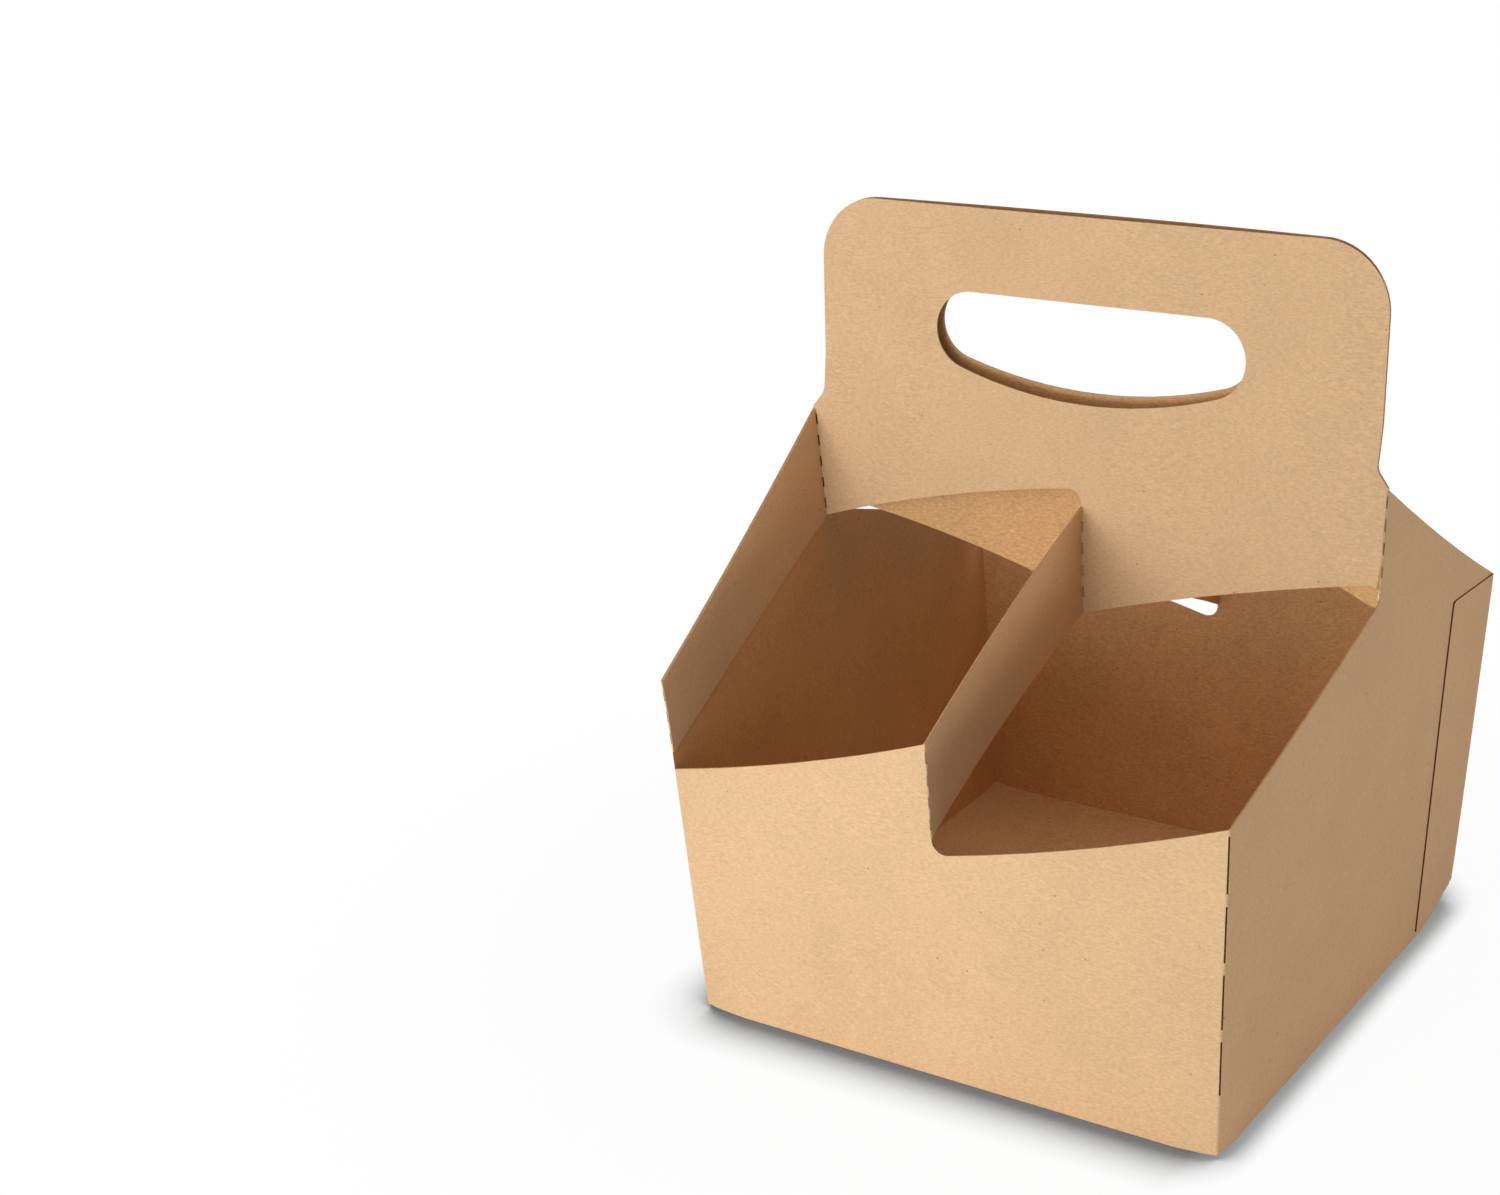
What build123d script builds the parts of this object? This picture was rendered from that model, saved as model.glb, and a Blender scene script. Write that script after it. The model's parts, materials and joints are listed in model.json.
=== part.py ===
from build123d import *
import math
import os

# A carrier for four cups, cut and folded from one sheet of kraft board.
# X runs along the front panel to the right, Y from front to back and Z up from the table.
# The half drawn here is the front panel, the right wall, their straps and the front handle ply.
# The other half is the same cut, turned half a turn about Z, and its handle ply is bowed further out.
# Only the glue tab comes once.

os.makedirs("parts", exist_ok=True)

# Board
board = 0.5
fold_inside = 0.4  # radius inside the folds of the tub
overrun = 4.0  # how far a cutter runs past the board

# Tub
base_width = 178.0
base_depth = 178.0
wall_lean = 3.1  # degrees that each wall leans outward

# Front panel, whose top edge climbs to the middle, drops down the divider fold and climbs again
left_height = 84.6
left_rise = 28.7
step_drop = 36.5
right_rise = 31.6
panel_bow = 2.0  # how far these edges hang below a straight line

# Slots that part the straps from the panels
slot_gap = 5.7  # between a strap and a panel at the slot's rounded end
slot_radius = 4.2  # slot ends at the divider
slot_end_radius = 2.8  # slot ends at the side walls
slot_middle = 23.3  # between the handle's foot and the middle of the front panel

# Handle plies
arch_rise = 23.6  # lower edge, from the side fold up to the divider fold
handle_step = 41.0  # length of the divider fold with its slot
handle_rise = 25.4  # lower edge, from the divider fold up to the other side fold
arch_bow = 2.5  # how far the arch stands above a straight line
foot_bow = 1.5  # the same for the lower edge on the other side of the step
side_fold = 37.4  # fold between a handle ply and its side strap
side_inset = 4.2  # free side of the handle, in from the top of that fold
side_run = 5.4  # height over which the free side runs out into the wall's edge
side_radius = 5.5  # where it begins to run out
corner_radius = 20.5
front_bow = 0.5  # how far the middle of the front ply stands forward
back_bow = 5.2  # how far the middle of the back ply stands back
bow_margin = 5.0  # flat strip of each ply beside its side folds
hole_foot = 26.7  # board between the arch and the hand hole
hole_width = 104.0
hole_height = 31.5
hole_end_radius = 12.5
hole_head = 26.4  # board above the hand hole

# Side walls and straps
strap_root = 23.7  # side strap at the corner fold
strap_bow = 0.7
low_wall_bow = 1.0  # hang of the wall's edge beside the open slot
high_wall_bow = 1.1  # hang of the wall's edge beside the handle
divider_top_bow = 1.6
divider_foot_bow = 2.6

# Glue tab, outside the right wall at the back corner
tab_width = 36.3
tab_top_width = 34.2
tab_foot = 3.0  # above the table
tab_rise = 2.6  # its top edge, from the corner to the free edge
tab_corner_radius = 1.5

# Floor flaps
lock_reach = 13.0  # how far each main flap passes the middle of the floor
lock_slope = 9.0  # half the width of the sloping part of the lock
seam_gap = 0.8
flap_reach_share = 0.33  # side flaps, as a share of the floor's width
flap_gap = 1.5  # between a floor flap and the walls that it isn't folded from

# Slits along the folds, which gape on the outside and are closed inside
slit_width = 0.5
slit_skin = 0.15  # board left inside a slit
slit_margin = 1.5  # least uncut board at each end of a row
dash_length = 3.6
dash_pitch = 7.2
corner_slit_length = 18.0
corner_slit_pitch = 22.0
corner_slit_foot = 20.0  # uncut corner fold above the table
foot_slit_length = 12.0
foot_slit_reach = 20.0  # stretch of the floor fold that has the slit in its middle

# Sizes that follow
fold_outside = fold_inside + board
slit_depth = board * math.sqrt(2) - slit_skin  # in a tight fold, from its outer edge
corner_slit_depth = fold_outside * math.sqrt(2) - fold_inside - slit_skin
tan_lean = math.tan(math.radians(wall_lean))
sin_lean = math.sin(math.radians(wall_lean))
cos_lean = math.cos(math.radians(wall_lean))
wall = board / cos_lean  # a wall's thickness measured level
middle_height = left_height + left_rise
notch_height = middle_height - step_drop
right_height = notch_height + right_rise
strap_low = left_height + slot_gap
wall_corner = strap_low + strap_root
handle_left = middle_height + slot_middle
arch_height = handle_left + arch_rise
step_height = arch_height - handle_step
handle_right = step_height + handle_rise
wall_slot = handle_right - slot_gap
wall_peak = handle_left + side_fold
hole_bottom = arch_height + hole_foot
hole_top = hole_bottom + hole_height
total_height = hole_top + hole_head
block_height = wall_peak + overrun


def half_width(z):
    """Distance from the middle to the outer face of a side wall at height z."""
    return base_width / 2 + z * tan_lean


def half_depth(z):
    """Distance from the middle to the outer face of the front or back wall at height z."""
    return base_depth / 2 + z * tan_lean


def bowed(start, end, bow):
    """An arc from start to end, lifted by bow above the straight line."""
    (x0, y0), (x1, y1) = start, end
    length = math.hypot(x1 - x0, y1 - y0)
    side = bow if x1 > x0 else -bow
    middle = ((x0 + x1) / 2 - side * (y1 - y0) / length, (y0 + y1) / 2 + side * (x1 - x0) / length)
    return ThreePointArc(start, middle, end)


def rounded_at(face, corner, radius):
    """The face with the corner nearest to a point rounded."""
    return fillet(face.vertices().sort_by_distance(Vector(*corner))[0], radius)


def half_turn(shape):
    """The shape turned half a turn about the carrier's upright axis."""
    return shape.rotate(Axis.Z, 180)


def tapered_block(shrink, low):
    """The block between the four leaning faces, each drawn in by shrink, from a height up."""
    high = block_height

    def profile(half):
        return Polygon(
            (shrink - half(low), low),
            (half(low) - shrink, low),
            (half(high) - shrink, high),
            (shrink - half(high), high),
            align=None,
        )

    reach = half_width(high) + half_depth(high)
    across = extrude(Plane.XZ * profile(half_width), reach, both=True)
    along = extrude(Plane.YZ * profile(half_depth), reach, both=True)
    return across & along


def corner_edges(block):
    """The four leaning edges of a tapered block."""
    return block.edges().filter_by(lambda edge: abs((edge @ 1 - edge @ 0).Z) > overrun)


# Planes on the outer faces of the front and right walls, with local Y up the board
front_plane = Plane((0, -base_depth / 2, 0), x_dir=(1, 0, 0), z_dir=(0, -cos_lean, -sin_lean))
right_plane = Plane((base_width / 2, 0, 0), x_dir=(0, 1, 0), z_dir=(cos_lean, 0, -sin_lean))


def on_wall(along, z):
    """A point of a wall's plane, from its place along the wall and its height."""
    return (along, z / cos_lean)


def front_gap():
    """What is open above the front panel, drawn on the front plane."""
    top = block_height + overrun
    beyond = half_width(top) + overrun
    left = on_wall(wall - half_width(left_height), left_height)
    slot_end = on_wall(wall - half_width(strap_low), strap_low)
    strap_foot = on_wall(2 * wall - half_width(strap_low), strap_low)
    strap_top = on_wall(2 * wall - half_width(top), top)
    middle = on_wall(0, middle_height)
    notch = on_wall(0, notch_height)
    right = on_wall(half_width(right_height), right_height)
    edges = [
        Polyline(left, slot_end, strap_foot, strap_top),
        Polyline(strap_top, on_wall(beyond, top), on_wall(beyond, right_height), right),
        bowed(right, notch, -panel_bow),
        Line(notch, middle),
        bowed(middle, left, -panel_bow),
    ]
    return rounded_at(make_face(edges), notch, slot_radius)


def right_gap():
    """What is open above the right wall, drawn on the right plane."""
    top = block_height + overrun
    beyond = half_depth(top) + overrun
    front = on_wall(-half_depth(right_height), right_height)
    inner = on_wall(-board, wall_slot)
    edges = [
        Polyline(on_wall(-beyond, top), on_wall(-beyond, right_height), front),
        bowed(front, inner, -low_wall_bow),
        Line(inner, on_wall(-board, wall_peak)),
        sloping_edge(),
        Polyline(
            on_wall(half_depth(wall_corner), wall_corner),
            on_wall(beyond, wall_corner),
            on_wall(beyond, top),
            on_wall(-beyond, top),
        ),
    ]
    return rounded_at(make_face(edges), inner, slot_end_radius)


def sloping_edge():
    """The top edge of the right wall's back half, from the handle down to the corner."""
    peak = on_wall(-board, wall_peak)
    corner = on_wall(half_depth(wall_corner), wall_corner)
    return bowed(peak, corner, -high_wall_bow)


def wall_cut(plane, outline):
    """A cutter that takes an outline out of one wall, through its board and its corner folds."""
    depth = 2 * fold_outside
    return extrude((plane * Pos(0, 0, -depth)) * outline, depth + overrun)


def hand_hole():
    """The hand hole: a level top, round ends and a hanging lower edge that runs smoothly into them."""
    end = hole_width / 2 - hole_end_radius
    centre = hole_top - hole_end_radius
    hang = centre - hole_bottom
    sweep = (end**2 + hang**2 - hole_end_radius**2) / (2 * (hang - hole_end_radius))
    end_share = hole_end_radius / (sweep - hole_end_radius)
    meet_x = end * (1 + end_share)
    meet_z = centre - (sweep - hang) * end_share
    edges = [
        Line((-end, hole_top), (end, hole_top)),
        ThreePointArc((end, hole_top), (hole_width / 2, centre), (meet_x, meet_z)),
        ThreePointArc((meet_x, meet_z), (0, hole_bottom), (-meet_x, meet_z)),
        ThreePointArc((-meet_x, meet_z), (-hole_width / 2, centre), (-end, hole_top)),
    ]
    return make_face(edges)


def ply_bend(bow):
    """A handle ply before it is cut out: flat at both ends and bowed forward in the middle."""
    far = half_width(block_height)
    flat = half_width(wall_slot) - bow_margin
    section = make_face(
        [
            Polyline((-flat, 0), (-far, 0), (-far, -board), (-flat, -board)),
            ThreePointArc((-flat, -board), (0, -bow - board), (flat, -board)),
            Polyline((flat, -board), (far, -board), (far, 0), (flat, 0)),
            ThreePointArc((flat, 0), (0, -bow), (-flat, 0)),
        ]
    )
    return extrude(section, total_height)


def handle_ply(bow):
    """The front handle ply, which folds into the right wall, the divider and the left side strap."""
    ear = half_width(wall_peak)
    side = ear - side_inset
    run_top = wall_peak + side_run
    left = (wall - half_width(handle_left), handle_left)
    arch = (-board, arch_height)
    foot = (board, step_height)
    right = (half_width(handle_right) - wall, handle_right)
    edges = [
        bowed(left, arch, arch_bow),
        Polyline(arch, (-board, step_height), foot),
        bowed(foot, right, foot_bow),
        Polyline(
            right,
            (half_width(wall_slot) - wall, wall_slot),
            (half_width(wall_slot), wall_slot),
            (ear, wall_peak),
        ),
        Polyline((ear, wall_peak), (side, run_top), (side, total_height), (-side, total_height)),
        Polyline((-side, total_height), (-side, run_top), (-ear, wall_peak), (wall - ear, wall_peak), left),
    ]
    face = make_face(edges)
    face = rounded_at(face, arch, slot_radius)
    face = rounded_at(face, right, slot_end_radius)
    face = rounded_at(face, (side, run_top), side_radius)
    face = rounded_at(face, (-side, run_top), side_radius)
    face = rounded_at(face, (side, total_height), corner_radius)
    face = rounded_at(face, (-side, total_height), corner_radius)
    outline = extrude(Plane.XZ * (face - hand_hole()), bow + board + overrun)
    return outline & ply_bend(bow)


def divider_strap(bow):
    """The strap from the middle of the front panel back to the handle ply."""
    front_low = (-half_depth(notch_height + slot_gap), notch_height + slot_gap)
    front_high = (-half_depth(middle_height), middle_height)
    back_high = (-bow, arch_height - slot_gap)
    back_low = (-bow, step_height)
    edges = [
        Line(front_low, front_high),
        bowed(front_high, back_high, divider_top_bow),
        Line(back_high, back_low),
        bowed(back_low, front_low, divider_foot_bow),
    ]
    return extrude(Plane.YZ * make_face(edges), -board)


def side_strap():
    """The strap that lies flat inside the back half of the right wall."""
    reach = half_depth(wall_peak) + overrun
    handle_low = on_wall(0, handle_left)
    handle_high = on_wall(0, wall_peak)
    back_low = on_wall(half_depth(strap_low) - wall, strap_low)
    back_high = on_wall(half_depth(wall_peak) - wall, wall_peak)
    whole = make_face(
        [
            bowed(handle_low, back_low, strap_bow),
            Polyline(back_low, back_high, handle_high, handle_low),
        ]
    )
    above = make_face(
        [
            sloping_edge(),
            Polyline(
                on_wall(half_depth(wall_corner), wall_corner),
                on_wall(reach, wall_corner),
                on_wall(reach, block_height),
                on_wall(-board, block_height),
                on_wall(-board, wall_peak),
            ),
        ]
    )
    return extrude((right_plane * Pos(0, 0, -2 * board)) * (whole - above), board)


def glue_tab(block):
    """The tab that wraps the back right corner and lies on the outside of the right wall."""
    corner = half_depth(wall_corner)
    beyond = corner + overrun
    free_top = on_wall(corner - tab_top_width, wall_corner + tab_rise)
    outline = Polygon(
        on_wall(half_depth(tab_foot) - tab_width, tab_foot),
        on_wall(beyond, tab_foot),
        on_wall(beyond, wall_corner),
        on_wall(corner, wall_corner),
        free_top,
        align=None,
    )
    outline = rounded_at(outline, free_top, tab_corner_radius)
    reach = extrude((right_plane * Pos(0, 0, -board)) * outline, 2 * board + overrun)
    return reach & block.moved(Pos(wall, 0, 0))


def side_flap():
    """The floor flap that folds in from the right wall and lies on the main flaps."""
    root = half_width(board) - wall
    side = half_depth(board) - wall - flap_gap
    reach = base_width * flap_reach_share
    free = root - reach
    outline = Polygon((root, -side), (root, side), (free, side - reach), (free, reach - side), align=None)
    return extrude(Plane.XY.offset(board) * outline, board)


def lock_band():
    """The band across the floor where one main flap lies on the other."""
    length = 2 * (half_width(board) - wall - flap_gap)
    return extrude(Plane.XY.offset(board) * Rectangle(length, 2 * lock_reach), board)


def lock_seam():
    """The line under the floor where the two main flaps hook past each other."""
    far = base_width / 2 - fold_outside
    line = [(-far, lock_reach), (-lock_slope, lock_reach), (lock_slope, -lock_reach), (far, -lock_reach)]
    near = [(x, y - seam_gap / 2) for x, y in line]
    far_side = [(x, y + seam_gap / 2) for x, y in reversed(line)]
    return extrude(Polygon(*near, *far_side, align=None), board)


def fold_cut(x, y, low, high, x_way, y_way, rise):
    """A cutter that rounds the outer edge of a tight fold to the board's own thickness.

    The edge is at x, y at its low end and climbs along rise. The board lies on its x_way and y_way side.
    """
    size = board + overrun
    shift = (board - overrun) / 2
    square = Pos(x_way * shift, y_way * shift) * Rectangle(size, size)
    corner = square - Pos(x_way * board, y_way * board) * Circle(board)
    length = (high - low) * Vector(*rise).length
    return extrude(Pos(x, y, low) * corner, length, dir=rise)


def fold_cuts():
    """The rounded outer edges of the divider fold, the handle fold and the side strap's fold."""
    divider_low = notch_height + slot_gap
    handle_low = handle_right - slot_end_radius
    nose_x = half_width(strap_low) - 2 * wall
    return [
        fold_cut(0, -half_depth(divider_low), divider_low, block_height, -1, 1, (0, -tan_lean, 1)),
        fold_cut(half_width(handle_low), -board, handle_low, block_height, -1, 1, (tan_lean, 0, 1)),
        fold_cut(nose_x, half_depth(strap_low), strap_low, block_height, 1, -1, (tan_lean, tan_lean, 1)),
    ]


def fold_slits(start, end, inward, depth, dash, pitch):
    """Cutters for a row of dashes along a fold's edge, evenly placed between its two ends.

    inward is the way into the board, square to the edge.
    """
    edge = Vector(*end) - Vector(*start)
    count = int((edge.length - 2 * slit_margin - dash) // pitch) + 1
    first = (edge.length - dash - (count - 1) * pitch) / 2
    plane = Plane(start, x_dir=inward, z_dir=edge)
    slit = Pos((depth - overrun) / 2, 0) * Rectangle(depth + overrun, slit_width)
    return [extrude(plane.offset(first + number * pitch) * slit, dash) for number in range(count)]


def corner_slits():
    """The long slits in the front right corner fold."""
    start = (half_width(corner_slit_foot), -half_depth(corner_slit_foot), corner_slit_foot)
    end = (half_width(right_height), -half_depth(right_height), right_height)
    inward = (-1, 1, 2 * tan_lean)
    return fold_slits(start, end, inward, corner_slit_depth, corner_slit_length, corner_slit_pitch)


def foot_slits():
    """The slit in the right wall's floor fold, beside the front corner."""
    start = (base_width / 2, -base_depth / 2, 0)
    end = (base_width / 2, foot_slit_reach - base_depth / 2, 0)
    return fold_slits(start, end, (-1, 0, 1), slit_depth, foot_slit_length, corner_slit_pitch)


def strap_slits(bow):
    """The short dashes in the folds of the divider strap, the front handle ply and the left side strap."""
    divider_low = notch_height + slot_gap
    divider_high = arch_height - slot_gap
    nose = half_width(strap_low) - wall
    nose_top = half_width(wall_corner) - wall
    rows = [
        # divider strap, on the front panel
        (
            (0, -half_depth(divider_low), divider_low),
            (0, -half_depth(middle_height), middle_height),
            (-1, 1, tan_lean),
            slit_depth,
        ),
        # divider strap, on the handle ply
        (
            (0, -bow - board, step_height),
            (0, -bow - board, divider_high),
            (-1, 1, 0),
            slit_depth,
        ),
        # handle ply, on the right wall
        (
            (half_width(handle_right), -board, handle_right),
            (half_width(wall_peak), -board, wall_peak),
            (-1, 1, tan_lean),
            slit_depth,
        ),
        # handle ply, on the left side strap
        (
            (2 * wall - half_width(handle_left), -board, handle_left),
            (2 * wall - half_width(wall_peak), -board, wall_peak),
            (-1, 1, -tan_lean),
            slit_depth,
        ),
        # left side strap, on the left wall
        (
            (-nose, -half_depth(strap_low), strap_low),
            (-nose_top, -half_depth(wall_corner), wall_corner),
            (0, 1, tan_lean),
            board,
        ),
    ]
    cutters = []
    for start, end, inward, depth in rows:
        cutters += fold_slits(start, end, inward, depth, dash_length, dash_pitch)
    return cutters


block = tapered_block(0, 0)
foot_edges = block.faces().sort_by(Axis.Z)[0].edges()
block = fillet(corner_edges(block) + foot_edges, fold_outside)
hollow = tapered_block(wall, board)
hollow = fillet(corner_edges(hollow), fold_inside)

cuts = [wall_cut(front_plane, front_gap()), wall_cut(right_plane, right_gap())]
tub = block - hollow - cuts - [half_turn(cut) for cut in cuts]

front_half = [handle_ply(front_bow), divider_strap(front_bow), side_strap(), side_flap()]
back_half = [handle_ply(back_bow), divider_strap(back_bow), side_strap(), side_flap()]
carrier = tub + front_half + [half_turn(piece) for piece in back_half] + [glue_tab(block), lock_band()]

same_cuts = fold_cuts() + corner_slits() + foot_slits()
front_cuts = same_cuts + strap_slits(front_bow)
back_cuts = same_cuts + strap_slits(back_bow)
carrier = carrier - front_cuts - [half_turn(cut) for cut in back_cuts] - lock_seam()

export_step(carrier, "parts/cup_carrier.step")
print("solids", len(carrier.solids()), "faces", len(carrier.faces()), "volume", round(carrier.volume))
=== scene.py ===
import json
import math

import bpy
from bpy.props import FloatProperty, FloatVectorProperty, PointerProperty
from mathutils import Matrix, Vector, noise
from mathutils.bvhtree import BVHTree

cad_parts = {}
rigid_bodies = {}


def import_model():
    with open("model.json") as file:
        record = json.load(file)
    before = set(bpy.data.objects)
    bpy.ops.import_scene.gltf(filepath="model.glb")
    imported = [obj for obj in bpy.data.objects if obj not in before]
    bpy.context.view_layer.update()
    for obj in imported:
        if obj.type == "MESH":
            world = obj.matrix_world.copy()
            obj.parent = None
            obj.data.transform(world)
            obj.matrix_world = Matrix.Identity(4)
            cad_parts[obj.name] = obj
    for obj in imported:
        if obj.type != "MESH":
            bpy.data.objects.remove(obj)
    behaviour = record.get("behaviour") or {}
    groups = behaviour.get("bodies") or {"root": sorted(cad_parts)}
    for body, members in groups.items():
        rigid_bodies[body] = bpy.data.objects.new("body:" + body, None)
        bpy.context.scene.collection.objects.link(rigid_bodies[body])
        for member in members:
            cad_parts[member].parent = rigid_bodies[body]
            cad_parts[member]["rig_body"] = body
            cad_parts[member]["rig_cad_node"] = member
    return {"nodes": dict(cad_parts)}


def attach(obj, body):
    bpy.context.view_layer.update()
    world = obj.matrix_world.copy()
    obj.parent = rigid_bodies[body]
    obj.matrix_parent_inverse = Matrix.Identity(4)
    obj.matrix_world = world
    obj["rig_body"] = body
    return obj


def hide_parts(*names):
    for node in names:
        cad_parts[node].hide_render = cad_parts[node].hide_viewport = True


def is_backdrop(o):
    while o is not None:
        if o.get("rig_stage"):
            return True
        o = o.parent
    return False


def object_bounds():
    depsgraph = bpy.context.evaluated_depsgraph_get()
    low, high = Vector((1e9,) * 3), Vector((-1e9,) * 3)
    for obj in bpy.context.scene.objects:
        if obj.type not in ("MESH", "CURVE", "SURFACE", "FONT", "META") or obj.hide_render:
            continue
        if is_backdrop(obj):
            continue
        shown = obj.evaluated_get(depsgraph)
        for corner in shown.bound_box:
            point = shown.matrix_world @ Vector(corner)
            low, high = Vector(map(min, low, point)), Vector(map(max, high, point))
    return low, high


bl_info = {
    "name": "Cup Carrier",
    "version": (1, 0, 0),
    "blender": (4, 5, 0),
    "location": "3D View > Sidebar > Carrier",
    "description": "Dresses a folded kraft-board cup carrier and lights it in a white studio",
    "category": "Object",
}

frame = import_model()
cad_low, cad_high = (list(corner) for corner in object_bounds())

MM = 0.001
BOARD = 0.5 * MM

# The carrier's own places, in metres: the walls lean out, a side strap lies inside each high wall half,
# and the two handle plies are bowed apart between flat ends.
HALF_BASE = 89.0 * MM
LEAN = math.tan(math.radians(3.1))
WALL_TOP = 180.0 * MM  # the walls and their straps end below this
WALL_STACK = 4 * BOARD  # a wall is thinner than this with all that lies against it
STRAP_DEPTH = 1.5 * BOARD  # a side strap's inner face lies deeper in from the wall's face than this
PLY_STACK = 3.5 * BOARD  # a way into the board that is longer than this runs along the sheet
PLY_FOOT = 118.5 * MM  # the handle plies are above this
PLY_HALF = 91.523 * MM  # half the length of the bowed part of a ply
FRONT_BOW = 0.5 * MM
BACK_BOW = 5.2 * MM
NOTCH = 77.0 * MM  # lowest point of a panel's top edge
HOLE_TOP = 218.0 * MM
TAB_FRONT = 50.0 * MM  # the glue tab is behind this
TAB_TOP = 120.0 * MM  # and below this
SLIT = 0.8 * MM  # a gap in the board that is narrower than this is a slit
SLIT_HALF_DEPTH = 0.3 * MM
INTO_BOARD = 0.01 * MM  # where a ray into the board starts, behind its face
OFF_BOARD = 0.05 * MM  # where a ray across a slit starts, in front of its face
GRID_SHIFT = 0.37 * MM  # keeps the cuts of the grid off the design's own edges

# The set of the sheet, in metres. A pair is a smooth step from 0 to 1, and a height is where a set that
# is strongest at the table ends.
BLUNT_STEP = (80 * MM, HALF_BASE)  # towards a corner of the floor
BLUNT_HEIGHT = 12 * MM
LEAN_FOOT = 143 * MM  # the handle leans above this
FOLD_STEP = (80 * MM, 95 * MM)  # towards the folds that hold the handle's ends
FREE_STEP = (172 * MM, 190 * MM)  # up to where those ends are free
FRONT_HEIGHT = 100 * MM
LEFT_STEP = (0, 70 * MM)  # from the back panel's notch to the left
RIGHT_STEP = (55 * MM, 92 * MM)  # and to the right
PUSH_STEP_X = (40 * MM, 88 * MM)  # towards the pushed corner
PUSH_STEP_Y = (55 * MM, 88 * MM)
PUSH_HEIGHT = 110 * MM
CLOSE_STEP = (200 * MM, cad_high[2])  # up to the plies' top edges
WARP_FOOT = 30 * MM  # the warp is full above this
SECOND_NOISE = Vector((7, 3, 1))  # shifts the warp across the carrier against the warp along it

# PAINTED_SHADE is painted shade: a flat dark brown on the slits along the folds and on the glue tab's
# free and top edges, standing in for the shade in them.
OUTER, INNER, EDGE, PAINTED_SHADE = range(4)  # the board's materials
OUTER_CONTRAST = 1.0
INNER_CONTRAST = 1.6
WHITE = (1, 1, 1, 1)
MATT_WHITE = (0.9, 0.9, 0.9, 1)

LAMP_AIM = Vector((0, 0, 0.1))
SIDE_BAND = (0.1, 0.2)  # the rise at which the light from all round ends, where 1 is straight up
TOP_BAND = (0.65, 0.85)  # the rise at which the light from above begins
# The floor's contact shadow is painted into its white glow from ambient occlusion, deeper in front and
# paler on the right by place.
RIGHT_FOOT = (80 * MM, 100 * MM)  # where the contact shadow changes from the front's to the right's
FRONT_DEPTH, RIGHT_DEPTH = 0.85, 0.5  # how dark the contact shadow is in front and on the right


def linear(hex_colour):
    """Linear RGB of an sRGB hex colour."""
    values = [int(hex_colour[i : i + 2], 16) / 255 for i in (1, 3, 5)]
    return [v / 12.92 if v <= 0.04045 else ((v + 0.055) / 1.055) ** 2.4 for v in values]


def per_mm(size):
    """Texture scale at which one cell of a pattern is this many millimetres."""
    return 1 / (size * MM)


def ease(value, start, end):
    """A smooth step from 0 at start to 1 at end."""
    share = max(0.0, min(1.0, (value - start) / (end - start)))
    return share * share * (3 - 2 * share)


def near_table(z, height):
    """1 at the table, falling evenly to 0 at this height."""
    return max(0, 1 - z / height)


def blank_material(name):
    """A new material with an empty node tree, and that tree."""
    material = bpy.data.materials.new(name)
    material.use_nodes = True
    material.node_tree.nodes.clear()
    return material, material.node_tree


def add_node(tree, kind, links=None, values=None, **settings):
    """Adds a node with its settings, its socket values and its links from other nodes' sockets."""
    node = tree.nodes.new(kind)
    for name, value in settings.items():
        setattr(node, name, value)
    for socket, value in (values or {}).items():
        node.inputs[socket].default_value = value
    for socket, source in (links or {}).items():
        tree.links.new(source, node.inputs[socket])
    return node


def background_rays(tree):
    """1 for rays that show the white background: the camera's, also by way of a reflection or glass."""
    path = add_node(tree, "ShaderNodeLightPath")
    rays = path.outputs["Is Camera Ray"]
    for kind in ("Is Glossy Ray", "Is Transmission Ray"):
        rays = add_node(
            tree, "ShaderNodeMath", {0: rays, 1: path.outputs[kind]}, operation="MAXIMUM").outputs[0]
    return rays


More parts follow.
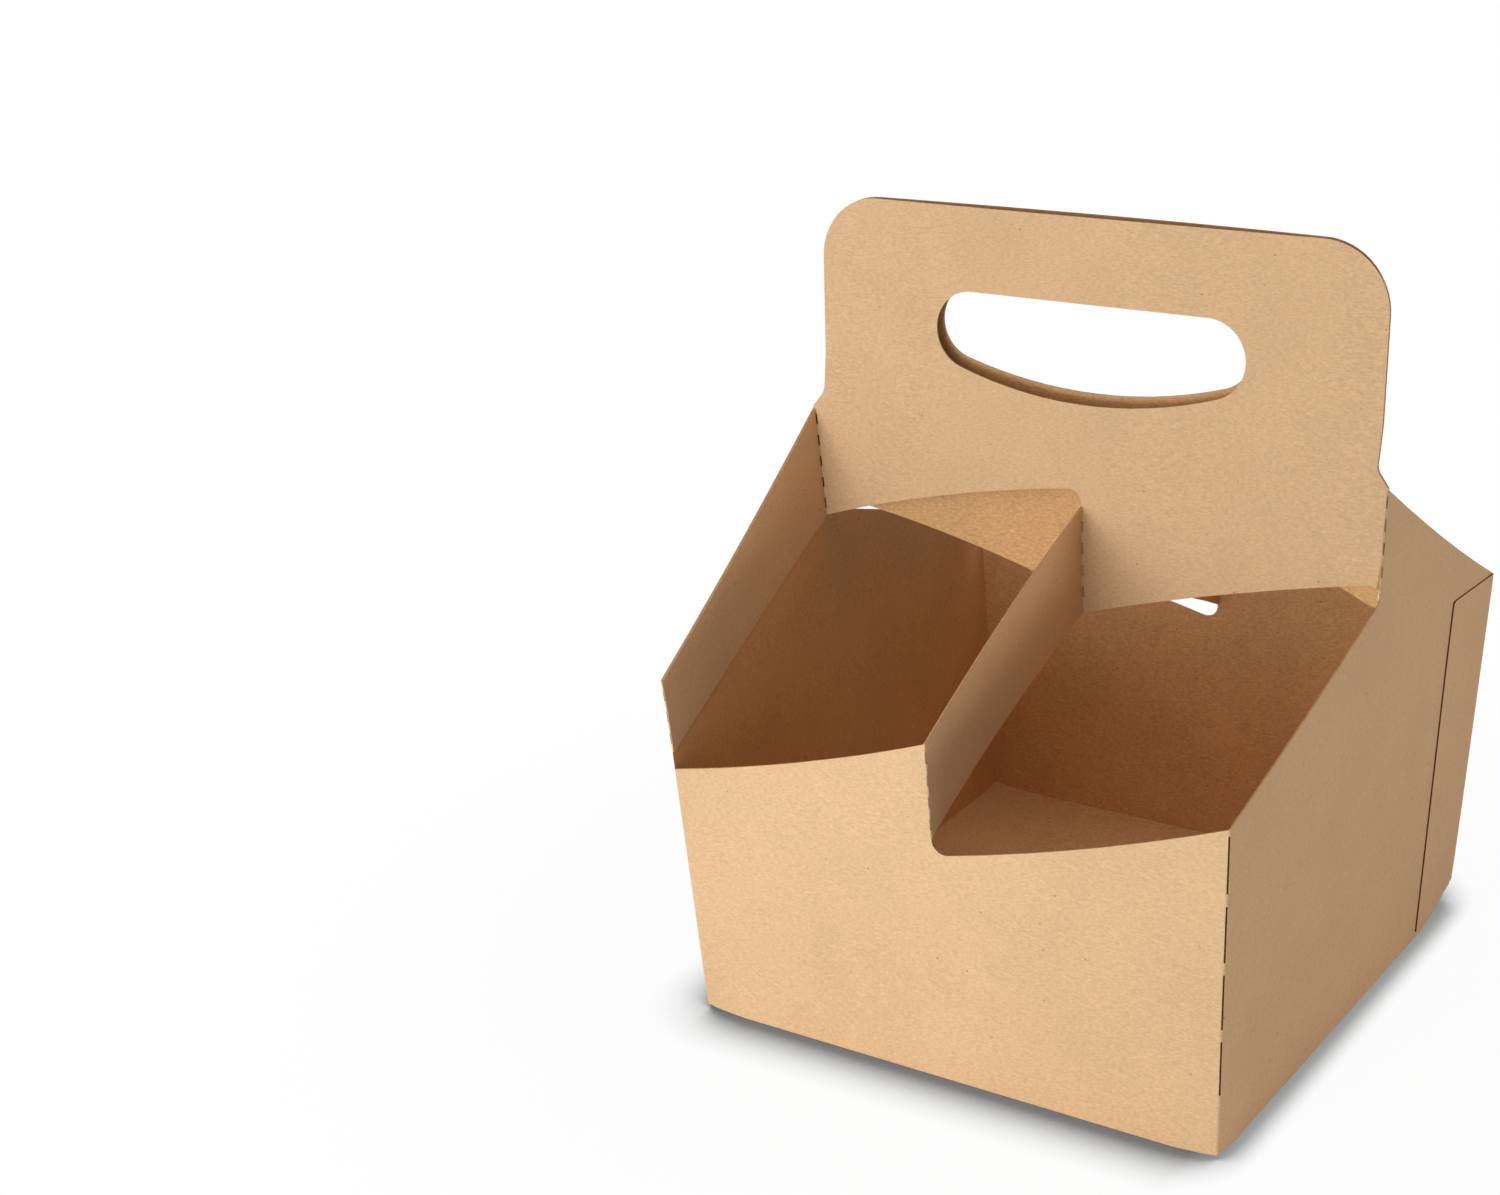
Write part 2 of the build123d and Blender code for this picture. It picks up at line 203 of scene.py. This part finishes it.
class CarrierBoard(bpy.types.PropertyGroup):
    """Colours, grain and set of the kraft board."""

    outer_colour: FloatVectorProperty(
        name="Outer side", description="Colour of the smooth outer side of the board",
        subtype="COLOR", size=3, min=0, max=1, default=linear("#DFB88D"))
    inner_colour: FloatVectorProperty(
        name="Inner side", description="Colour of the yellower inner side of the board",
        subtype="COLOR", size=3, min=0, max=1, default=linear("#DBAB76"))
    edge_colour: FloatVectorProperty(
        name="Cut edge", description="Colour of the raw fibre on cut edges",
        subtype="COLOR", size=3, min=0, max=1, default=linear("#C79A6C"))
    # Painted shade: this dark brown stands in for the shade inside the slits and in the gap along the
    # glue tab's edges.
    slit_shade_colour: FloatVectorProperty(
        name="Slit", description="Colour inside the slits along the folds and on the glue tab's edge",
        subtype="COLOR", size=3, min=0, max=1, default=linear("#6E4829"))
    fibre_width: FloatProperty(
        name="Fibre width", description="Width of the drawn fibres, coarse enough to show in a picture",
        unit="LENGTH", min=0.0001, default=0.34 * MM)
    fibre_length: FloatProperty(
        name="Fibre length", description="Length of the drawn fibres along the grain",
        unit="LENGTH", min=0.001, default=1.7 * MM)
    warp: FloatProperty(
        name="Warp", description="How far the sheet strays from flat",
        unit="LENGTH", min=0, default=0.12 * MM)
    warp_size: FloatProperty(
        name="Warp size", description="Width of one swell of the warped sheet",
        unit="LENGTH", min=0.01, default=90.0 * MM)
    handle_lean: FloatProperty(
        name="Handle lean", description="How far the handle's top edge leans to the right",
        unit="LENGTH", min=0, default=4.3 * MM)
    ply_lift: FloatProperty(
        name="Back ply lift", description="How far the middle of the back handle ply rides up",
        unit="LENGTH", min=0, default=1.7 * MM)
    top_close: FloatProperty(
        name="Top close", description="Share of its bow that the back handle ply loses at its top edge",
        subtype="FACTOR", min=0, max=1, default=0.45)
    notch_lift: FloatProperty(
        name="Back panel lift", description="How far the middle of the back panel's top edge rides up",
        unit="LENGTH", min=0, default=4.4 * MM)
    corner_push: FloatProperty(
        name="Corner push", description="How far the back right corner is pushed in at the table",
        unit="LENGTH", min=0, default=6.0 * MM)
    corner_lift: FloatProperty(
        name="Corner lift", description="How far that corner stands off the table",
        unit="LENGTH", min=0, default=4.5 * MM)
    blunt_corners: FloatProperty(
        name="Blunt corners", description="How far the corners of the floor are worn up from the table",
        unit="LENGTH", min=0, default=1.4 * MM)
    front_push: FloatProperty(
        name="Front push", description="How far the front panel's foot stands forward at its left end",
        unit="LENGTH", min=0, default=4.5 * MM)
    grid: FloatProperty(
        name="Grid", description="Spacing of the cuts that let the sheet follow its set and warp",
        unit="LENGTH", min=0.004, default=10.0 * MM)


class CarrierStage(bpy.types.PropertyGroup):
    """Floor, lamps and camera."""

    floor_size: FloatProperty(
        name="Floor", description="Width of the floor", unit="LENGTH", min=1, default=16.0)
    shadow_reach: FloatProperty(
        name="Contact shadow", description="How far the soft shadow under the carrier's edges reaches",
        unit="LENGTH", min=0.005, default=0.024)
    # Painted shadow: the contact shadow is painted narrower on the right by the floor's place, not cast
    # by the fill lamp.
    right_shadow_reach: FloatProperty(
        name="Contact shadow, right", description="The same on the right, where the fill lamp shines",
        unit="LENGTH", min=0.002, default=0.009)
    shadow_radius: FloatProperty(
        name="Shadow radius",
        description="Distance from the carrier within which the floor shows its shadow",
        unit="LENGTH", min=0.1, default=0.32)
    key_power: FloatProperty(
        name="Key lamp", description="Power of the large lamp in front on the left",
        unit="POWER", min=0, default=12.0)
    key_size: FloatProperty(
        name="Key size", description="Width of the large lamp", unit="LENGTH", min=0.1, default=1.8)
    key_place: FloatVectorProperty(
        name="Key place", description="Where the large lamp stands",
        subtype="TRANSLATION", size=3, default=(-0.75, -1.45, 0.65))
    key_tint: FloatVectorProperty(
        name="Key tint", description="Colour of the large lamp, slightly warm",
        subtype="COLOR", size=3, min=0, max=2, default=(1.1, 0.95, 0.83))
    front_power: FloatProperty(
        name="Front lamp", description="Power of the low, near lamp in front",
        unit="POWER", min=0, default=2.2)
    front_size: FloatProperty(
        name="Front size", description="Width of the near lamp", unit="LENGTH", min=0.1, default=0.35)
    front_place: FloatVectorProperty(
        name="Front place", description="Where the near lamp stands",
        subtype="TRANSLATION", size=3, default=(-0.1, -0.6, 0.05))
    front_tint: FloatVectorProperty(
        name="Front tint", description="Colour of the near lamp, slightly cool",
        subtype="COLOR", size=3, min=0, max=2, default=(0.87, 1.0, 1.07))
    fill_power: FloatProperty(
        name="Fill lamp", description="Power of the low lamp on the right",
        unit="POWER", min=0, default=5.0)
    fill_size: FloatProperty(
        name="Fill size", description="Width of the low lamp", unit="LENGTH", min=0.1, default=0.3)
    fill_place: FloatVectorProperty(
        name="Fill place", description="Where the low lamp stands",
        subtype="TRANSLATION", size=3, default=(1.6, 0.2, 0.15))
    fill_tint: FloatVectorProperty(
        name="Fill tint", description="Colour of the low lamp, slightly warm",
        subtype="COLOR", size=3, min=0, max=2, default=(1.0, 0.91, 0.88))
    side_light: FloatProperty(
        name="Side light", description="Strength of the light from all round at table height",
        min=0, default=0.46)
    top_light: FloatProperty(
        name="Top light", description="Strength of the light from above", min=0, default=0.7)
    camera_place: FloatVectorProperty(
        name="Camera place", description="Where the camera stands",
        subtype="TRANSLATION", size=3, default=(0.36361, -0.65374, 0.42635))
    camera_turn: FloatVectorProperty(
        name="Camera turn", description="How the camera is turned",
        subtype="EULER", size=3, default=[math.radians(a) for a in (68.2846, 4.0078, 35.4707)])
    lens: FloatProperty(
        name="Lens", description="Focal length in millimetres on a sensor 36 mm wide",
        min=10, default=61.7)


def kraft_board(name, colour, contrast, settings):
    """Kraft board, uncoated: pressed brown fibre, matt and slightly mottled.

    The eye sees soft clouds of lighter and darker tone, fine flecks of fibre that lie along the sheet's
    grain, a few dark specks of bark and a faint tooth where light grazes the sheet. The flecks stand out
    more on the rougher inner side, which contrast gives.
    """
    material, tree = blank_material(name)
    place = add_node(tree, "ShaderNodeTexCoord").outputs["Object"]
    stretch = settings.fibre_width / settings.fibre_length
    grain = add_node(tree, "ShaderNodeMapping", {"Vector": place}, {"Scale": (stretch, 1, 1)})
    cloud = add_node(
        tree, "ShaderNodeTexNoise", {"Vector": place},
        {"Scale": per_mm(28), "Detail": 3.0, "Roughness": 0.55})
    mottle = add_node(
        tree, "ShaderNodeTexNoise", {"Vector": place},
        {"Scale": per_mm(1.1), "Detail": 1.0, "Roughness": 0.5})
    fibre = add_node(
        tree, "ShaderNodeTexNoise", {"Vector": grain.outputs["Vector"]},
        {"Scale": 1 / settings.fibre_width, "Detail": 2.0, "Roughness": 0.6})
    speck = add_node(
        tree, "ShaderNodeTexVoronoi", {"Vector": place},
        {"Scale": per_mm(8), "Randomness": 1.0})
    shares = [
        add_node(
            tree, "ShaderNodeMapRange", {"Value": source},
            {"From Min": low, "From Max": high, "To Min": dark, "To Max": light})
        for source, low, high, dark, light in (
            (cloud.outputs["Fac"], 0.32, 0.68, 1 - 0.03 * contrast, 1 + 0.03 * contrast),
            (mottle.outputs["Fac"], 0.3, 0.7, 1 - 0.04 * contrast, 1 + 0.04 * contrast),
            (fibre.outputs["Fac"], 0.34, 0.66, 1 - 0.08 * contrast, 1 + 0.1 * contrast),
            (speck.outputs["Distance"], 0.025, 0.06, 0.6, 1.0),
        )
    ]
    tone = shares[0].outputs[0]
    for share in shares[1:]:
        tone = add_node(
            tree, "ShaderNodeMath", {0: tone, 1: share.outputs[0]}, operation="MULTIPLY").outputs[0]
    shade = add_node(
        tree, "ShaderNodeVectorMath", {"Scale": tone}, {0: tuple(colour)}, operation="SCALE")
    bump = add_node(
        tree, "ShaderNodeBump", {"Height": fibre.outputs["Fac"]},
        {"Strength": 0.3, "Distance": 0.08 * MM})
    surface = add_node(
        tree, "ShaderNodeBsdfPrincipled",
        {"Base Color": shade.outputs[0], "Normal": bump.outputs["Normal"]},
        {"Roughness": 0.82, "IOR": 1.45, "Specular IOR Level": 0.3})
    add_node(tree, "ShaderNodeOutputMaterial", {"Surface": surface.outputs[0]})
    return material


def raw_edge(name, colour):
    """Raw fibre of a cut edge: the torn core of the board, dull and uneven, with short loose fibres; in
    a dark colour, painted shade.
    """
    material, tree = blank_material(name)
    place = add_node(tree, "ShaderNodeTexCoord").outputs["Object"]
    fuzz = add_node(
        tree, "ShaderNodeTexNoise", {"Vector": place},
        {"Scale": per_mm(1.4), "Detail": 2.0, "Roughness": 0.7})
    tone = add_node(
        tree, "ShaderNodeMapRange", {"Value": fuzz.outputs["Fac"]},
        {"From Min": 0.3, "From Max": 0.7, "To Min": 0.8, "To Max": 1.08})
    shade = add_node(
        tree, "ShaderNodeVectorMath", {"Scale": tone.outputs[0]}, {0: tuple(colour)},
        operation="SCALE")
    surface = add_node(
        tree, "ShaderNodeBsdfPrincipled", {"Base Color": shade.outputs[0]},
        {"Roughness": 0.95, "IOR": 1.45, "Specular IOR Level": 0.15})
    add_node(tree, "ShaderNodeOutputMaterial", {"Surface": surface.outputs[0]})
    return material


def half_width(z):
    """Distance from the middle to the outer face of a wall at height z."""
    return HALF_BASE + z * LEAN


def ply_bow(x, bow):
    """How far a ply with this bow stands out from flat at x."""
    radius = (PLY_HALF**2 + bow**2) / (2 * bow)
    return bow - radius + math.sqrt(radius**2 - x**2)


def is_outer_side(centre, normal):
    """Whether a face of the sheet belongs to the board's outer side, by its place and normal."""
    x, y, z = centre
    if abs(normal.z) > 0.7:
        return normal.z < 0
    depth = half_width(z) - abs(x)
    if depth < WALL_STACK and z < WALL_TOP and abs(normal.x) > 0.5:
        on_strap = depth > STRAP_DEPTH
        return normal.x * x > 0 or on_strap
    if abs(y) > half_width(z) - WALL_STACK:
        return normal.y * y > 0
    if abs(normal.x) > abs(normal.y):
        return normal.x * y < 0
    return normal.y * y > 0 and abs(y) > BOARD / 2


def is_cut_edge(tree, centre, normal):
    """Whether the board goes on behind a face for longer than its plies are thick."""
    place, _, _, distance = tree.ray_cast(centre - normal * INTO_BOARD, -normal)
    return place is None or distance > PLY_STACK


def is_in_slit(tree, centre, normal):
    """Whether a face is a side or the bottom of a narrow slit."""
    if tree.ray_cast(centre + normal * OFF_BOARD, normal, SLIT)[0]:
        return True
    middle = centre + normal * SLIT_HALF_DEPTH
    for along in (Vector((0, 0, 1)), Vector((0, 1, 0))):
        across = normal.cross(along).normalized()
        if all(tree.ray_cast(middle, way, SLIT / 2)[0] for way in (across, -across)):
            return True
    return False


def is_painted_shade_edge(centre, normal):
    """Whether a cut edge is the free or top edge of the glue tab, which gets painted shade for the
    shadowed gap there.
    """
    on_tab = centre.x > half_width(centre.z) and centre.y > TAB_FRONT and centre.z < TAB_TOP
    return on_tab and (normal.y < -0.8 or normal.z > 0.6)


def cad_copy(node, name):
    """A copy of a CAD node's mesh with its triangles merged, as the only selected and active object."""
    bpy.ops.object.select_all(action="DESELECT")
    piece = frame["nodes"][node].copy()
    piece.data = piece.data.copy()
    piece.name = name
    piece.data.name = name
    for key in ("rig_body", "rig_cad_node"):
        del piece[key]
    piece.parent = None
    bpy.context.scene.collection.objects.link(piece)
    piece.select_set(True)
    bpy.context.view_layer.objects.active = piece
    bpy.ops.mesh.customdata_custom_splitnormals_clear()
    bpy.ops.object.mode_set(mode="EDIT")
    bpy.ops.mesh.select_all(action="SELECT")
    bpy.ops.mesh.remove_doubles(threshold=0.005 * MM)
    bpy.ops.mesh.dissolve_limited(angle_limit=math.radians(0.1))
    bpy.ops.object.mode_set(mode="OBJECT")
    return piece


def cut_grid(spacing):
    """Cuts the active mesh along evenly spaced planes, so that large flat faces can bend."""
    bpy.ops.object.mode_set(mode="EDIT")
    for axis in range(3):
        normal = [0.0, 0.0, 0.0]
        normal[axis] = 1.0
        steps = math.floor((cad_high[axis] - cad_low[axis]) / spacing)
        first = (cad_low[axis] + cad_high[axis] - steps * spacing) / 2
        for step in range(steps + 1):
            point = [0.0, 0.0, 0.0]
            point[axis] = first + step * spacing + GRID_SHIFT
            bpy.ops.mesh.select_all(action="SELECT")
            bpy.ops.mesh.bisect(plane_co=point, plane_no=normal)
    bpy.ops.mesh.select_all(action="SELECT")
    bpy.ops.mesh.quads_convert_to_tris(quad_method="BEAUTY", ngon_method="BEAUTY")
    bpy.ops.object.mode_set(mode="OBJECT")


class CARRIER_OT_board(bpy.types.Operator):
    """Dress the folded board: its bow, set and warp, its two sides and its cut edges"""

    bl_idname = "carrier.board"
    bl_label = "Folded board"

    def execute(self, context):
        settings = context.scene.carrier_board
        piece = cad_copy("cup_carrier", "folded_board")
        cut_grid(settings.grid)
        self.round_plies(piece)
        self.assign_sides(piece, settings)
        self.set_sheet(piece, settings)
        self.warp(piece, settings)
        bpy.ops.object.shade_smooth_by_angle(angle=math.radians(12))
        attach(piece, "root")
        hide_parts("cup_carrier")
        return {"FINISHED"}

    def round_plies(self, piece):
        """Moves the points of the two bowed plies from flat facets onto their true curves."""
        for vertex in piece.data.vertices:
            x, y, z = vertex.co
            if z < PLY_FOOT or abs(x) > PLY_HALF or abs(y) > BACK_BOW + 2 * BOARD:
                continue
            front, back = ply_bow(x, FRONT_BOW), ply_bow(x, BACK_BOW)
            faces = (-front - BOARD, -front, back, back + BOARD)
            nearest = min(faces, key=lambda place: abs(place - y))
            if abs(nearest - y) < BOARD / 2:
                vertex.co.y = nearest

    def assign_sides(self, piece, settings):
        """Gives each face the outer side, the inner side, the raw edge, or painted shade in a slit or on
        the glue tab's edges.
        """
        mesh = piece.data
        mesh.materials.clear()
        for material in (
            kraft_board("Kraft board, outer side", settings.outer_colour, OUTER_CONTRAST, settings),
            kraft_board("Kraft board, inner side", settings.inner_colour, INNER_CONTRAST, settings),
            raw_edge("Kraft board, cut edge", settings.edge_colour),
            # painted shade: the raw-edge material in dark brown, for the slits and the glue tab's edges
            raw_edge("Kraft board, slit", settings.slit_shade_colour),
        ):
            mesh.materials.append(material)
        tree = BVHTree.FromPolygons(
            [vertex.co for vertex in mesh.vertices], [face.vertices[:] for face in mesh.polygons])
        for face in mesh.polygons:
            centre, normal = face.center, face.normal
            # Slits and the glue tab's free and top edges get painted shade.
            if is_in_slit(tree, centre, normal):
                face.material_index = PAINTED_SHADE
            elif is_cut_edge(tree, centre, normal):
                face.material_index = PAINTED_SHADE if is_painted_shade_edge(centre, normal) else EDGE
            else:
                face.material_index = OUTER if is_outer_side(centre, normal) else INNER

    def set_sheet(self, piece, settings):
        """Sets the folded sheet as it stands.

        Its handle leans to the right, its back half rides up, the two plies close at their top edges,
        the corners of the floor are blunt, the back right one is pushed in and the front panel's foot
        stands forward.
        """
        top = cad_high[2]
        for vertex in piece.data.vertices:
            x, y, z = vertex.co
            blunt = ease(abs(x), *BLUNT_STEP) * ease(abs(y), *BLUNT_STEP)
            vertex.co.z += settings.blunt_corners * blunt * near_table(z, BLUNT_HEIGHT)
            lean = settings.handle_lean * max(0, z - LEAN_FOOT) / (top - LEAN_FOOT)
            at_fold = ease(abs(x), *FOLD_STEP) * (1 - ease(z, *FREE_STEP))
            vertex.co.x += lean * (1 - at_fold)
            if y <= 0:
                front = min(1, -y / half_width(z)) * near_table(z, FRONT_HEIGHT)
                vertex.co.y -= settings.front_push * front * (0.7 - 0.3 * x / HALF_BASE)
                continue
            back = min(1, y / half_width(z))
            mid_ply = max(0, 1 - (x / PLY_HALF) ** 4) * (1 - ease(z, HOLE_TOP, top))
            mid_panel = (1 - ease(-x, *LEFT_STEP)) * (1 - ease(x, *RIGHT_STEP))
            rise = settings.ply_lift * mid_ply * (1 - back) + settings.notch_lift * mid_panel * back
            corner = ease(x, *PUSH_STEP_X) * ease(y, *PUSH_STEP_Y) * near_table(z, PUSH_HEIGHT)
            if z > PLY_FOOT and abs(x) < PLY_HALF and y < BACK_BOW + 2 * BOARD:
                vertex.co.y -= settings.top_close * ply_bow(x, BACK_BOW) * ease(z, *CLOSE_STEP)
            vertex.co.y -= settings.corner_push * corner
            vertex.co.z += rise * min(1, z / NOTCH) + settings.corner_lift * corner

    def warp(self, piece, settings):
        """Moves the sheet a little off flat, the same on both of its sides, and less near the table."""
        for vertex in piece.data.vertices:
            place = vertex.co / settings.warp_size
            shift = Vector((noise.noise(place), noise.noise(place + SECOND_NOISE), 0))
            moved = vertex.co + shift * settings.warp * 2 * min(1, vertex.co.z / WARP_FOOT)
            vertex.co = [
                max(low, min(high, value)) for low, value, high in zip(cad_low, moved, cad_high)]


class CARRIER_OT_stage(bpy.types.Operator):
    """Set the white floor, the soft lamps and the camera"""

    bl_idname = "carrier.stage"
    bl_label = "Stage"

    def execute(self, context):
        settings = context.scene.carrier_stage
        context.scene.view_settings.view_transform = "Standard"
        self.floor(settings)
        self.light(context, settings)
        bpy.ops.object.camera_add(location=settings.camera_place, rotation=settings.camera_turn)
        camera = context.object
        camera.data.sensor_width = 36
        camera.data.lens = settings.lens
        camera.data.clip_start = 0.01
        context.scene.camera = camera
        return {"FINISHED"}

    def floor(self, settings):
        """A matt white floor that shows plain white, with the carrier's soft contact shadow painted into
        it from ambient occlusion near the carrier.
        """
        bpy.ops.object.select_all(action="DESELECT")
        bpy.ops.mesh.primitive_plane_add(size=settings.floor_size)
        floor = bpy.context.object
        floor.name = "studio_floor"
        floor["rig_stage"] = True
        material, tree = blank_material("White studio floor")
        place = add_node(tree, "ShaderNodeTexCoord").outputs["Object"]
        far = add_node(tree, "ShaderNodeVectorMath", {0: place}, operation="LENGTH")
        fade = add_node(
            tree, "ShaderNodeMapRange", {"Value": far.outputs["Value"]},
            {"From Min": 0.1, "From Max": settings.shadow_radius, "To Min": 0.95, "To Max": 1.0},
            interpolation_type="SMOOTHSTEP")
        share = add_node(
            tree, "ShaderNodeMath", {0: fade.outputs[0], 1: background_rays(tree)},
            operation="MULTIPLY")
        matt = add_node(tree, "ShaderNodeBsdfDiffuse", values={"Color": MATT_WHITE})
        # The painted contact shadow is narrower and paler on the right, set by the floor's place across
        # the carrier's right foot.
        across = add_node(tree, "ShaderNodeSeparateXYZ", {0: place})
        reach, depth = (
            add_node(
                tree, "ShaderNodeMapRange", {"Value": across.outputs["X"]},
                {"From Min": RIGHT_FOOT[0], "From Max": RIGHT_FOOT[1], "To Min": front, "To Max": right})
            for front, right in (
                (settings.shadow_reach, settings.right_shadow_reach),
                (FRONT_DEPTH, RIGHT_DEPTH),
            )
        )
        contact = add_node(
            tree, "ShaderNodeAmbientOcclusion", {"Distance": reach.outputs[0]}, samples=16)
        hidden = add_node(
            tree, "ShaderNodeMapRange", {"Value": contact.outputs["AO"]},
            {"From Min": 0.55, "From Max": 1.0, "To Min": 1.0, "To Max": 0.0})
        shadow = add_node(
            tree, "ShaderNodeMath", {0: hidden.outputs[0]}, {1: 1.5}, operation="POWER")
        shadow = add_node(
            tree, "ShaderNodeMath", {0: shadow.outputs[0], 1: depth.outputs[0]}, operation="MULTIPLY")
        glow = add_node(
            tree, "ShaderNodeMath", {1: shadow.outputs[0]}, {0: 1.0}, operation="SUBTRACT")
        white = add_node(tree, "ShaderNodeEmission", {"Strength": glow.outputs[0]}, {"Color": WHITE})
        surface = add_node(
            tree, "ShaderNodeMixShader",
            {0: share.outputs[0], 1: matt.outputs[0], 2: white.outputs[0]})
        add_node(tree, "ShaderNodeOutputMaterial", {"Surface": surface.outputs[0]})
        floor.data.materials.append(material)

    def light(self, context, settings):
        """A large lamp on the left, two low ones in front and on the right, and soft light all round."""
        for name in ("key", "front", "fill"):
            bpy.ops.object.light_add(type="AREA", location=getattr(settings, name + "_place"))
            lamp = context.object
            lamp.name = name + "_lamp"
            lamp.data.energy = getattr(settings, name + "_power")
            lamp.data.size = getattr(settings, name + "_size")
            lamp.data.color = getattr(settings, name + "_tint")
            aim = LAMP_AIM - lamp.location
            lamp.rotation_euler = aim.to_track_quat("-Z", "Y").to_euler()
        world = bpy.data.worlds.new("White studio")
        context.scene.world = world
        world.use_nodes = True
        tree = world.node_tree
        tree.nodes.clear()
        way = add_node(tree, "ShaderNodeTexCoord").outputs["Generated"]
        rise = add_node(tree, "ShaderNodeSeparateXYZ", {0: way})
        side, top = (
            add_node(
                tree, "ShaderNodeMapRange", {"Value": rise.outputs["Z"]},
                {"From Min": band[0], "From Max": band[1], "To Min": below, "To Max": above})
            for band, below, above in (
                (SIDE_BAND, settings.side_light, 0.0),
                (TOP_BAND, 0.0, settings.top_light),
            )
        )
        strength = add_node(
            tree, "ShaderNodeMath", {0: side.outputs[0], 1: top.outputs[0]}, operation="ADD")
        fill = add_node(
            tree, "ShaderNodeBackground", {"Strength": strength.outputs[0]}, {"Color": WHITE})
        white = add_node(tree, "ShaderNodeBackground", values={"Color": WHITE, "Strength": 1.0})
        surface = add_node(
            tree, "ShaderNodeMixShader",
            {0: background_rays(tree), 1: fill.outputs[0], 2: white.outputs[0]})
        add_node(tree, "ShaderNodeOutputWorld", {"Surface": surface.outputs[0]})


class CARRIER_PT_panel(bpy.types.Panel):
    """The carrier's steps and settings"""

    bl_idname = "CARRIER_PT_panel"
    bl_label = "Cup carrier"
    bl_space_type = "VIEW_3D"
    bl_region_type = "UI"
    bl_category = "Carrier"

    def draw(self, context):
        for operator, settings in (
            (CARRIER_OT_board, context.scene.carrier_board),
            (CARRIER_OT_stage, context.scene.carrier_stage),
        ):
            box = self.layout.box()
            box.operator(operator.bl_idname)
            for name in settings.__annotations__:
                box.prop(settings, name)


CLASSES = (CarrierBoard, CarrierStage, CARRIER_OT_board, CARRIER_OT_stage, CARRIER_PT_panel)


def register():
    for item in CLASSES:
        bpy.utils.register_class(item)
    bpy.types.Scene.carrier_board = PointerProperty(type=CarrierBoard)
    bpy.types.Scene.carrier_stage = PointerProperty(type=CarrierStage)


def unregister():
    del bpy.types.Scene.carrier_stage
    del bpy.types.Scene.carrier_board
    for item in reversed(CLASSES):
        bpy.utils.unregister_class(item)


def main():
    register()
    bpy.ops.carrier.board()
    bpy.ops.carrier.stage()


if __name__ == "__main__":
    main()
